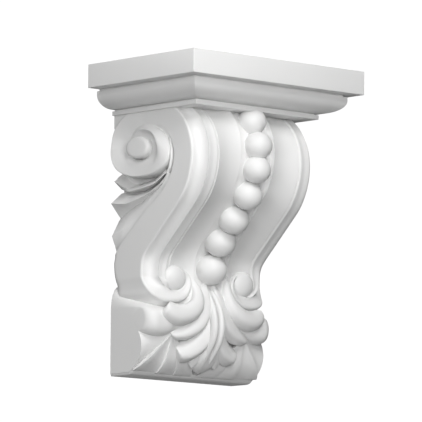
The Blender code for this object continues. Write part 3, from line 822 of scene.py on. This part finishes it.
@dataclass(frozen=True)
class Block:
    """Block at the foot: a plain core, a cushioned shoulder on it and low leaves in front.

    A row of the cushion's section holds the share of its bottom's height (what is missing to 1
    is the break's), millimetres above that, share of the lift, share of the front's depth and
    millimetres added to that.
    """

    half: float = 0.082
    core_depth: float = 0.0338
    corner: float = 0.003
    foot_rise: float = 0.009
    foot_tuck: float = 0.009
    shoulder_top: float = 0.09
    shoulder_break: float = 0.066
    shoulder_depth: float = 0.061
    shoulder_corner: float = 0.011
    shoulder_round: float = 0.0095
    shoulder_bottom: float = 0.0378
    arch_middle: float = 0.065
    arch: float = 15.2
    fan_offset: float = 0.048
    fan_height: float = 0.0426
    fan_depth: float = 0.056
    side_tuck: float = 0.0012
    clearance: float = 0.0001
    core_heights: Row = (0.0, 0.0003, 0.001, 0.002, 0.0035, 0.0055, 0.0075, 0.009, 0.012, 0.05)
    fine_end: float = 0.016
    least_lift: float = 0.03
    cushion: Table = (
        (1, 0, 0, 0, -8), (1, 0, 0, 1, -17), (1, 0.8, 0, 1, -8), (1, 4, 0, 1, -2.8),
        (1, 10, 0, 1, -0.2), (0, -8.5, 0, 1, -0.2), (0, -3, 0, 1, -2.8), (0, 0, 0, 1, -6.8),
        (0, 0, 0.16, 1, -16), (0, 0, 0.38, 0.48, 0), (0, 0, 0.7, 0.22, 0),
        (0, 0, 0.97, 0.04, 0), (0, 0, 1, 0, -8))
    leaves: tuple[Fan, ...] = (
        Fan((82, 41.5, 43), (82, 31.8, 2.6), 9.2, 0, 0.6, 4.6),
        Fan((82, 31.8, 4.6), (51, 31.2, 3), -1.2, 4.2, 5.2, 0),
        Fan((51, 32.2, 3.2), (27, 31.2, 2.8), 0.6, 1.8, 6, 1),
        Fan((27, 31.6, 2.8), (2, 31, 2.8), 0.6, 1.2, 6.2, 0))

    def shells(self) -> list[Shell]:
        """Build the three parts.

        Returns:
            Core, shoulder and low leaves.
        """
        return [self.core(), self.shoulder(), *self.fans()]

    def core(self) -> Shell:
        """Stack plans with rounded front corners, tucked in at the foot on an ellipse.

        Returns:
            The core.
        """
        height = np.array(self.core_heights)[:, None]
        rise = 1 - np.minimum(height / self.foot_rise, 1)
        tuck = 1 - np.sqrt(1 - rise ** 2)
        return plans("block", self.half - self.clearance - self.side_tuck * tuck,
                     self.core_depth - self.foot_tuck * tuck, height, self.corner, 7)

    def shoulder(self) -> Shell:
        """Skin the cushion's section, a curve through points, over offsets from the middle.

        Returns:
            The shoulder.
        """
        inset = np.concatenate((np.linspace(self.half, self.fine_end, 40),
                                self.fine_end * np.linspace(1, 0, 26)[1:] ** 1.6))
        offset = self.half - inset
        arch = np.maximum(offset, self.fan_offset) - self.arch_middle
        bottom = self.shoulder_bottom + self.arch * arch ** 2
        away = np.clip(1 - inset / self.shoulder_corner, 0, 1)
        front = self.shoulder_depth - self.shoulder_corner * (1 - np.sqrt(1 - away ** 2))
        fall = np.clip(1 - inset / self.shoulder_round, 0, 1)
        lift = np.maximum(np.sqrt(1 - fall ** 2), self.least_lift)
        lift = lift * (self.shoulder_top - self.shoulder_break)
        low, above, lifted, ahead, back = np.array(self.cushion).T[:, :, None]
        zs = low * bottom + (1 - low) * self.shoulder_break + above / 1000 + lifted * lift
        ds = ahead * front + back / 1000
        points = np.stack((ds, zs), axis=-1)
        fine = np.stack([through(points[:, k], 56) for k in range(points.shape[1])])
        right = stack(offset[:, None], -fine[..., 0], fine[..., 1])
        left = right[:0:-1] * (-1.0, 1.0, 1.0)
        return Shell("shoulder", np.concatenate((left, right), axis=0))

    def fans(self) -> list[Shell]:
        """Fan leaves out from a point under the shoulder to the corner and the foot.

        Each leaf lies between two rays; it bulges across and along, and its first edge stands
        proud of the leaf before it.

        Returns:
            Four leaves on each flank.
        """
        root = (self.fan_offset, self.fan_depth, self.fan_height)
        share = closing(0.05, 0.80, 22, 16)
        across = np.linspace(0, 1, 24)
        shells = []
        for index, leaf in enumerate(self.leaves):
            x, depth, z = ((1 - across) * a + across * b for a, b in zip(leaf.first, leaf.second))
            depth = depth + leaf.bulge * 4 * across * (1 - across) * share - leaf.drop * across ** 9
            depth = depth + leaf.edge * np.minimum(1, 1.25 * (1 - across)) ** 1.6
            x, depth, z = (a + (b / 1000 - a) * share for a, b in zip(root, (x, depth, z)))
            depth = depth + leaf.belly / 1000 * np.abs(np.sin(math.pi * share ** 2)) ** 0.7
            outer = stack(x, -depth, z)
            inner = outer[:, ::-1] * (1.0, 0.0, 1.0) + (0.0, 2 * OVERLAP, 0.0)
            shells += mirrored(Shell(f"fan_{index}", np.concatenate((outer, inner), axis=1)))
        return shells


@dataclass(frozen=True)
class Acanthus:
    """Leaf under the last bead: a grooved stem, four curled lobes on each side, a foot.

    A row of the stem's table holds offset, depth and height, half width of a ridge and half
    width of the root under both ridges, in millimetres.
    """

    lobes: tuple[Blade, ...] = (
        Blade("lobe_1", (
            (30, 47, 113, 1.6), (26.2, 55, 101, 3.6), (23.6, 60.6, 91.5, 5),
            (22.6, 65.2, 84, 6.4), (23.8, 68.8, 76.5, 7.8), (27.6, 71, 70, 9),
            (34.2, 71.8, 65, 9.4), (42, 71.4, 62.8, 10.2), (50, 70.2, 62.8, 10.8),
            (57, 68.4, 66, 10.4), (61.6, 65.2, 71.4, 8.8)), 1.1, -14, 2.4, 0.07, rows=64),
        Blade("lobe_2", (
            (6, 55, 96, 2.6), (11.6, 61.5, 81, 7.4), (15.6, 65.2, 68, 9.4),
            (22.2, 65.4, 56.2, 9.8), (33, 62.8, 48.2, 9), (44, 59.2, 44.6, 7.6),
            (52, 55.6, 42.5, 5.8)), 0.8, -24, 3.2, 0.12),
        Blade("lobe_3", (
            (3, 64, 72, 2.6), (5.2, 65.6, 58, 6.4), (10.4, 63.6, 45.5, 9.6),
            (18.4, 60, 35.5, 11.2), (28.4, 56, 29.6, 11.6), (40, 52, 27.5, 10.2)),
            0.72, -24, 3.4, 0.09, 1, 0.1),
        Blade("lobe_4", (
            (4, 63, 46, 3), (7.8, 60.2, 35, 5.6), (12.4, 56.2, 25, 7.6),
            (15, 51.2, 16, 8.2), (15.6, 46.8, 10, 6.6)), 0.8, -10, 2.3, 0.35))
    foot: Blade = Blade("foot_leaf", (
        (0, 66, 52, 4), (0, 64, 40, 9.5), (0, 60.6, 29, 15.5),
        (0, 55.6, 18.5, 18.8), (0, 48.4, 10.2, 19.4), (0, 39, 5, 18)),
        0.5, 0, 2.1, 0.36, 1.6, 0.34)
    stem: Table = (
        (2.4, 50, 99, 1.6, 3), (3, 56, 90, 2.4, 4.6), (3.8, 64, 79, 3.2, 6.2),
        (4.2, 70, 67, 3.6, 7), (4.3, 72.5, 56, 3.8, 7.4), (4.2, 72.2, 45, 3.8, 7.4),
        (4.2, 68.4, 34, 3.8, 7.4), (3.8, 61.4, 24, 3.6, 7), (3, 53, 14.5, 2.8, 5))
    stem_sink: float = 5.6
    bed_centre: Triple = (0.0, -0.03, 0.048)
    bed_radii: Triple = (0.062, 0.0255, 0.036)

    def shells(self) -> list[Shell]:
        """Carry every lobe along its line.

        Returns:
            The lobes and the two ridges of the stem on both flanks, and what lies in the middle.
        """
        ridge = Blade("stem", tuple(row[:4] for row in self.stem), 1.3, 0.0, 2.1, 0.06, rows=60, columns=26)
        root = Blade("stem_root", tuple((0.0, depth - self.stem_sink, height, half)
                                        for _, depth, height, _, half in self.stem),
                     1.2, 0, 2, 0.06, rows=60, columns=26)
        bed = sphere("leaf_bed", self.bed_centre, self.bed_radii, 0.0, 24, 48)
        shells = [root.shell(), self.foot.shell(), bed]
        for blade in (*self.lobes, ridge):
            shells += mirrored(blade.shell())
        return shells


class Casting:
    """The whole casting: gathers the shells, unites them and cuts them off at the wall."""

    def __init__(self, finish: Finish) -> None:
        """Keep the finish and build the sub-assemblies.

        Args:
            finish: The casting's finish.
        """
        self.finish = finish
        cap = Cap()
        band = Band(cap)
        self.parts = (cap, Console(band), band, Beads(), Volute(), SideLeaves(), Block(), Acanthus())

    @staticmethod
    def surface(shell: Shell) -> bpy.types.Object:
        """Turn a shell into a mesh object with closed ends and faces that point outwards.

        Args:
            shell: The shell.
        Returns:
            The object, centred on the origin in height.
        """
        rows, columns, _ = shell.grid.shape
        ends = shell.grid[[0, -1]].mean(axis=1)
        points = np.vstack((shell.grid.reshape(-1, 3), ends)) - (0.0, 0.0, TOTAL_HEIGHT / 2)
        index = np.arange(rows * columns).reshape(rows, columns)
        beside = np.roll(index, -1, axis=1)
        a, b, c, d = (v.ravel() for v in (index[:-1], beside[:-1], beside[1:], index[1:]))
        skin = np.vstack((np.stack((a, b, c), axis=1), np.stack((a, c, d), axis=1)))
        low, high = rows * columns, rows * columns + 1
        foot = np.stack((beside[0], index[0], np.full(columns, low)), axis=1)
        top = np.stack((index[-1], beside[-1], np.full(columns, high)), axis=1)
        faces = np.vstack((skin, foot, top))
        corners = points[faces]
        volume = np.einsum("ij,ij->i", corners[:, 0], np.cross(corners[:, 1], corners[:, 2])).sum()
        if volume < 0:
            faces = faces[:, ::-1]
        mesh = bpy.data.meshes.new(shell.name)
        mesh.from_pydata(points.tolist(), [], faces.tolist())
        made = bpy.data.objects.new(shell.name, mesh)
        bpy.context.scene.collection.objects.link(made)
        return made

    def build(self) -> bpy.types.Object:
        """Unite the shells, cut at the wall and give the piece its finish.

        Returns:
            The finished piece.
        """
        shells = [shell for part in self.parts for shell in part.shells()]
        objects = [self.surface(shell) for shell in shells]
        body = objects[0]
        body.name = "corbel_casting"
        x, y = np.array(((-1, 1, 1, -1), (0, 0, 1, 1))) * TOTAL_HEIGHT
        wall = self.surface(Shell("wall", stack(x, y, np.array(((-1,), (2,))) * TOTAL_HEIGHT)))
        for other, operation in [(o, "UNION") for o in objects[1:]] + [(wall, "DIFFERENCE")]:
            step = body.modifiers.new(other.name, "BOOLEAN")
            step.operation = operation
            step.solver = "MANIFOLD"
            step.object = other
        body.modifiers.new("triangles", "TRIANGULATE")
        depsgraph = bpy.context.evaluated_depsgraph_get()
        mesh = bpy.data.meshes.new_from_object(body.evaluated_get(depsgraph))
        body.modifiers.clear()
        body.data = mesh
        mesh.name = body.name
        for used in objects[1:] + [wall]:
            bpy.data.objects.remove(used, do_unlink=True)
        mesh.materials.clear()
        mesh.materials.append(painted(self.finish))
        mesh.shade_smooth()
        mesh.set_sharp_from_angle(angle=math.radians(38))
        normals = np.empty(3 * len(mesh.polygons))
        mesh.polygons.foreach_get("normal", normals)
        mesh.polygons.foreach_set("use_smooth", normals[1::3] < 0.9999)
        LOG.info("casting: %d faces, %d shells", len(mesh.polygons), len(shells))
        return body


def painted(finish: Finish) -> bpy.types.Material:
    """Make a painted material with faint mottling and grain in object coordinates.

    Args:
        finish: What it looks like.
    Returns:
        The material.
    """
    material = bpy.data.materials.new(finish.slot)
    material.use_nodes = True
    nodes, links = material.node_tree.nodes, material.node_tree.links
    shader = nodes["Principled BSDF"]
    shader.inputs["Roughness"].default_value = finish.roughness
    where = nodes.new("ShaderNodeTexCoord").outputs["Object"]
    cloud, grain = (nodes.new("ShaderNodeTexNoise") for _ in range(2))
    for noise, scale in ((cloud, finish.mottle_scale), (grain, finish.grain_scale)):
        noise.inputs["Scale"].default_value = scale
        links.new(where, noise.inputs["Vector"])
    tint = nodes.new("ShaderNodeMix")
    tint.data_type = "RGBA"
    for end, off in (("A", -finish.mottle), ("B", finish.mottle)):
        tint.inputs[end].default_value = (*(v + off for v in finish.colour), 1.0)
    links.new(cloud.outputs["Fac"], tint.inputs["Factor"])
    links.new(tint.outputs["Result"], shader.inputs["Base Color"])
    bump = nodes.new("ShaderNodeBump")
    bump.inputs["Distance"].default_value = finish.grain
    links.new(grain.outputs["Fac"], bump.inputs["Height"])
    links.new(bump.outputs["Normal"], shader.inputs["Normal"])
    return material


@dataclass(frozen=True)
class Lamp:
    """A square soft light aimed at the corbel."""

    name: str
    azimuth: float
    elevation: float
    distance: float
    size: float
    power: float


@dataclass(frozen=True)
class Studio:
    """Camera, soft lights, white surround and a pale floor far below."""

    azimuth: float = -42.0
    elevation: float = -6.75
    roll: float = 0.43
    distance: float = 5.0
    focal_pixels: float = 5000.0
    frame_pixels: float = 422.0
    target: Triple = (0.0, -0.06, 0.001)
    aim_right: float = -0.002
    aim_up: float = 0.0114
    surround: float = 0.02
    backdrop: float = 1.05
    floor_drop: float = 1.2
    floor_half: float = 6.0
    lamps: tuple[Lamp, ...] = (
        Lamp("left_key", -62, 3, 1.7, 0.6, 6.4), Lamp("front_key", -24, 5, 1.5, 0.5, 8),
        Lamp("camera_side", -42, 0, 6, 2, 16), Lamp("upper", -20, 40, 1.7, 0.6, 14.5),
        Lamp("back_left", -112, 38, 1.8, 1, 7), Lamp("right", 15, 5, 1.8, 0.8, 0.4))

    @staticmethod
    def direction(azimuth: float, elevation: float) -> Vector:
        """Direction from the corbel towards a place in the studio.

        Args:
            azimuth: Degrees; 0 in front, -90 on the left.
            elevation: Degrees above the horizon.
        Returns:
            The unit direction.
        """
        a, e = math.radians(azimuth), math.radians(elevation)
        return Vector((math.sin(a) * math.cos(e), -math.cos(a) * math.cos(e), math.sin(e)))

    def camera(self) -> None:
        """Set up the camera from its measured angles and focal length."""
        back = self.direction(self.azimuth, self.elevation)
        a, r = math.radians(self.azimuth), math.radians(self.roll)
        level = Vector((math.cos(a), math.sin(a), 0.0))
        rise = back.cross(level)
        right, up = level * math.cos(r) + rise * math.sin(r), rise * math.cos(r) - level * math.sin(r)
        data = bpy.data.cameras.new("camera")
        data.sensor_width = 36.0
        data.lens = data.sensor_width * self.focal_pixels / self.frame_pixels
        data.clip_end = 100.0
        data.dof.use_dof = False
        made = bpy.data.objects.new("camera", data)
        pose = Matrix((right, up, back)).transposed().to_4x4()
        aim = Vector(self.target) + right * self.aim_right + up * self.aim_up
        pose.translation = aim + back * self.distance
        made.matrix_world = pose
        bpy.context.scene.collection.objects.link(made)
        bpy.context.scene.camera = made

    def lights(self) -> None:
        """Hang the lamps, each turned to the corbel."""
        target = Vector(self.target)
        for lamp in self.lamps:
            data = bpy.data.lights.new(lamp.name, "AREA")
            data.size = lamp.size
            data.energy = lamp.power
            made = bpy.data.objects.new(lamp.name, data)
            away = self.direction(lamp.azimuth, lamp.elevation)
            made.location = target + away * lamp.distance
            made.rotation_euler = away.to_track_quat("Z", "Y").to_euler()
            bpy.context.scene.collection.objects.link(made)

    def world(self) -> None:
        """Give a surround that looks white and lights the corbel softly."""
        scene = bpy.context.scene
        scene.world = bpy.data.worlds.new("surround")
        scene.world.use_nodes = True
        nodes, links = scene.world.node_tree.nodes, scene.world.node_tree.links
        seen, lit = nodes["Background"], nodes.new("ShaderNodeBackground")
        for background, strength in ((seen, self.backdrop), (lit, self.surround)):
            background.inputs["Color"].default_value = (1.0, 1.0, 1.0, 1.0)
            background.inputs["Strength"].default_value = strength
        ray = nodes.new("ShaderNodeLightPath")
        mix = nodes.new("ShaderNodeMixShader")
        links.new(ray.outputs["Is Camera Ray"], mix.inputs["Fac"])
        links.new(lit.outputs["Background"], mix.inputs[1])
        links.new(seen.outputs["Background"], mix.inputs[2])
        links.new(mix.outputs["Shader"], nodes["World Output"].inputs["Surface"])

    def floor(self) -> bpy.types.Object:
        """Lay a pale floor far below the corbel.

        Returns:
            The floor.
        """
        mesh = bpy.data.meshes.new("floor")
        mesh.from_pydata([(x * self.floor_half, y * self.floor_half, -self.floor_drop)
                          for x, y in ((-1, -1), (1, -1), (1, 1), (-1, 1))], [], [(0, 1, 2, 3)])
        made = bpy.data.objects.new("floor", mesh)
        material = bpy.data.materials.new("pale_floor")
        material.use_nodes = True
        shader = material.node_tree.nodes["Principled BSDF"]
        shader.inputs["Base Color"].default_value = (0.80, 0.80, 0.80, 1.0)
        shader.inputs["Roughness"].default_value = 0.8
        mesh.materials.append(material)
        bpy.context.scene.collection.objects.link(made)
        return made

    def build(self) -> None:
        """Set up the studio."""
        self.camera()
        self.lights()
        self.world()
        self.floor()
        settings = bpy.context.scene.view_settings
        settings.view_transform = "Standard"
        settings.look = "None"
        settings.exposure = 0.0


def main() -> None:
    """Build the casting and the studio, and note the sizes."""
    logging.basicConfig(level=logging.INFO, format="%(name)s: %(message)s")
    casting = Casting(PRIMER)
    piece = casting.build()
    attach(piece, "root")
    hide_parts("corbel")
    Studio().build()


if __name__ == "__main__":
    main()
